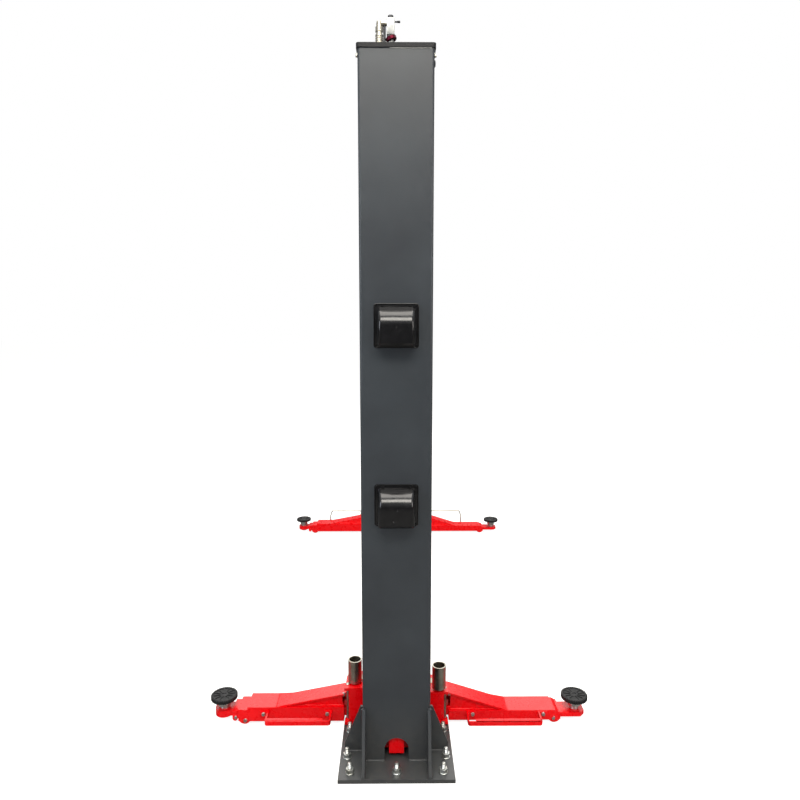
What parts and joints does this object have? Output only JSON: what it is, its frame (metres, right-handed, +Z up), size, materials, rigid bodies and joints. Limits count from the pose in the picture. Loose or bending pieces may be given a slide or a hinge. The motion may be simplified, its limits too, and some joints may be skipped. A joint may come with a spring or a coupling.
{
  "type": "two post car lift",
  "caption": "Electro-hydraulic two post car lift with folded steel columns, sliding carriages and telescopic swing arms.",
  "frame": {"origin": "on the floor, midway between the two columns", "axes": "+X from post to post towards the near column, +Y along the car, +Z up"},
  "size_m": [3.466, 1.742, 2.966],
  "materials": {
    "column_enamel": "satin",
    "red_enamel": "gloss",
    "cover_plastic": "gloss",
    "zinc_steel": "satin",
    "cylinder_enamel": "satin",
    "shoe_nylon": "matte",
    "pad_rubber": "matte"
  },
  "bodies": {
    "columns": {"near_base_plate": "column_enamel", "near_column": "column_enamel", "near_cap": "column_enamel", "near_lock_covers": "cover_plastic", "near_head_sheave": "zinc_steel", "near_line_fittings": "zinc_steel", "near_lift_cylinder": "cylinder_enamel", "far_base_plate": "column_enamel", "far_column": "column_enamel", "far_cap": "column_enamel", "far_lock_covers": "cover_plastic", "far_head_sheave": "zinc_steel", "far_line_fittings": "zinc_steel", "far_lift_cylinder": "cylinder_enamel", "floor_cover": "column_enamel"},
    "near_carriage": {"near_carriage": "red_enamel", "near_slide_shoes": "shoe_nylon", "near_pivot_pins": "zinc_steel", "near_height_adapters": "zinc_steel", "near_arm_locks": "zinc_steel"},
    "near_left_arm": {"near_left_arm": "red_enamel", "near_left_foot_guard": "red_enamel"},
    "near_left_middle_tube": {"near_left_middle_tube": "red_enamel"},
    "near_left_inner_tube": {"near_left_inner_tube": "red_enamel"},
    "near_left_pad": {"near_left_pad_screw": "zinc_steel", "near_left_pad": "pad_rubber"},
    "near_right_arm": {"near_right_arm": "red_enamel", "near_right_foot_guard": "red_enamel"},
    "near_right_inner_tube": {"near_right_inner_tube": "red_enamel"},
    "near_right_pad": {"near_right_pad_screw": "zinc_steel", "near_right_pad": "pad_rubber"},
    "far_carriage": {"far_carriage": "red_enamel", "far_slide_shoes": "shoe_nylon", "far_pivot_pins": "zinc_steel", "far_height_adapters": "zinc_steel", "far_arm_locks": "zinc_steel"},
    "far_left_arm": {"far_left_arm": "red_enamel", "far_left_foot_guard": "zinc_steel"},
    "far_left_middle_tube": {"far_left_middle_tube": "red_enamel"},
    "far_left_inner_tube": {"far_left_inner_tube": "red_enamel"},
    "far_left_pad": {"far_left_pad_screw": "zinc_steel", "far_left_pad": "pad_rubber"},
    "far_right_arm": {"far_right_arm": "red_enamel", "far_right_foot_guard": "zinc_steel"},
    "far_right_inner_tube": {"far_right_inner_tube": "red_enamel"},
    "far_right_pad": {"far_right_pad_screw": "zinc_steel", "far_right_pad": "pad_rubber"}
  },
  "joints": [
    {"name": "near_lift", "type": "slide", "parent": "columns", "child": "near_carriage", "axis": [0, 0, 1], "range_m": [0, 1.8]},
    {"name": "near_left_swing", "type": "hinge", "parent": "near_carriage", "child": "near_left_arm", "pos_m": [1.302, -0.175, 0.092], "axis": [0, 0, -1], "range_deg": [0, 90]},
    {"name": "near_left_middle_slide", "type": "slide", "parent": "near_left_arm", "child": "near_left_middle_tube", "axis": [0, -1, 0], "range_m": [0, 0.24]},
    {"name": "near_left_inner_slide", "type": "slide", "parent": "near_left_middle_tube", "child": "near_left_inner_tube", "axis": [0, -1, 0], "range_m": [0, 0.24]},
    {"name": "near_left_pad_raise", "type": "slide", "parent": "near_left_inner_tube", "child": "near_left_pad", "axis": [0, 0, 1], "range_m": [0, 0.025]},
    {"name": "near_right_swing", "type": "hinge", "parent": "near_carriage", "child": "near_right_arm", "pos_m": [1.302, 0.175, 0.092], "axis": [0, 0, 1], "range_deg": [0, 90]},
    {"name": "near_right_inner_slide", "type": "slide", "parent": "near_right_arm", "child": "near_right_inner_tube", "axis": [0, 1, 0], "range_m": [0, 0.35]},
    {"name": "near_right_pad_raise", "type": "slide", "parent": "near_right_inner_tube", "child": "near_right_pad", "axis": [0, 0, 1], "range_m": [0, 0.025]},
    {"name": "far_lift", "type": "slide", "parent": "columns", "child": "far_carriage", "axis": [0, 0, 1], "range_m": [0, 1.8]},
    {"name": "far_left_swing", "type": "hinge", "parent": "far_carriage", "child": "far_left_arm", "pos_m": [-1.302, -0.175, 0.092], "axis": [0, 0, 1], "range_deg": [0, 90]},
    {"name": "far_left_middle_slide", "type": "slide", "parent": "far_left_arm", "child": "far_left_middle_tube", "axis": [0, -1, 0], "range_m": [0, 0.24]},
    {"name": "far_left_inner_slide", "type": "slide", "parent": "far_left_middle_tube", "child": "far_left_inner_tube", "axis": [0, -1, 0], "range_m": [0, 0.24]},
    {"name": "far_left_pad_raise", "type": "slide", "parent": "far_left_inner_tube", "child": "far_left_pad", "axis": [0, 0, 1], "range_m": [0, 0.025]},
    {"name": "far_right_swing", "type": "hinge", "parent": "far_carriage", "child": "far_right_arm", "pos_m": [-1.302, 0.175, 0.092], "axis": [0, 0, -1], "range_deg": [0, 90]},
    {"name": "far_right_inner_slide", "type": "slide", "parent": "far_right_arm", "child": "far_right_inner_tube", "axis": [0, 1, 0], "range_m": [0, 0.35]},
    {"name": "far_right_pad_raise", "type": "slide", "parent": "far_right_inner_tube", "child": "far_right_pad", "axis": [0, 0, 1], "range_m": [0, 0.025]}
  ],
  "couplings": [
    {"joint": "far_lift", "follows": "near_lift", "ratio": 1},
    {"joint": "near_left_inner_slide", "follows": "near_left_middle_slide", "ratio": 1},
    {"joint": "far_left_inner_slide", "follows": "far_left_middle_slide", "ratio": 1}
  ]
}
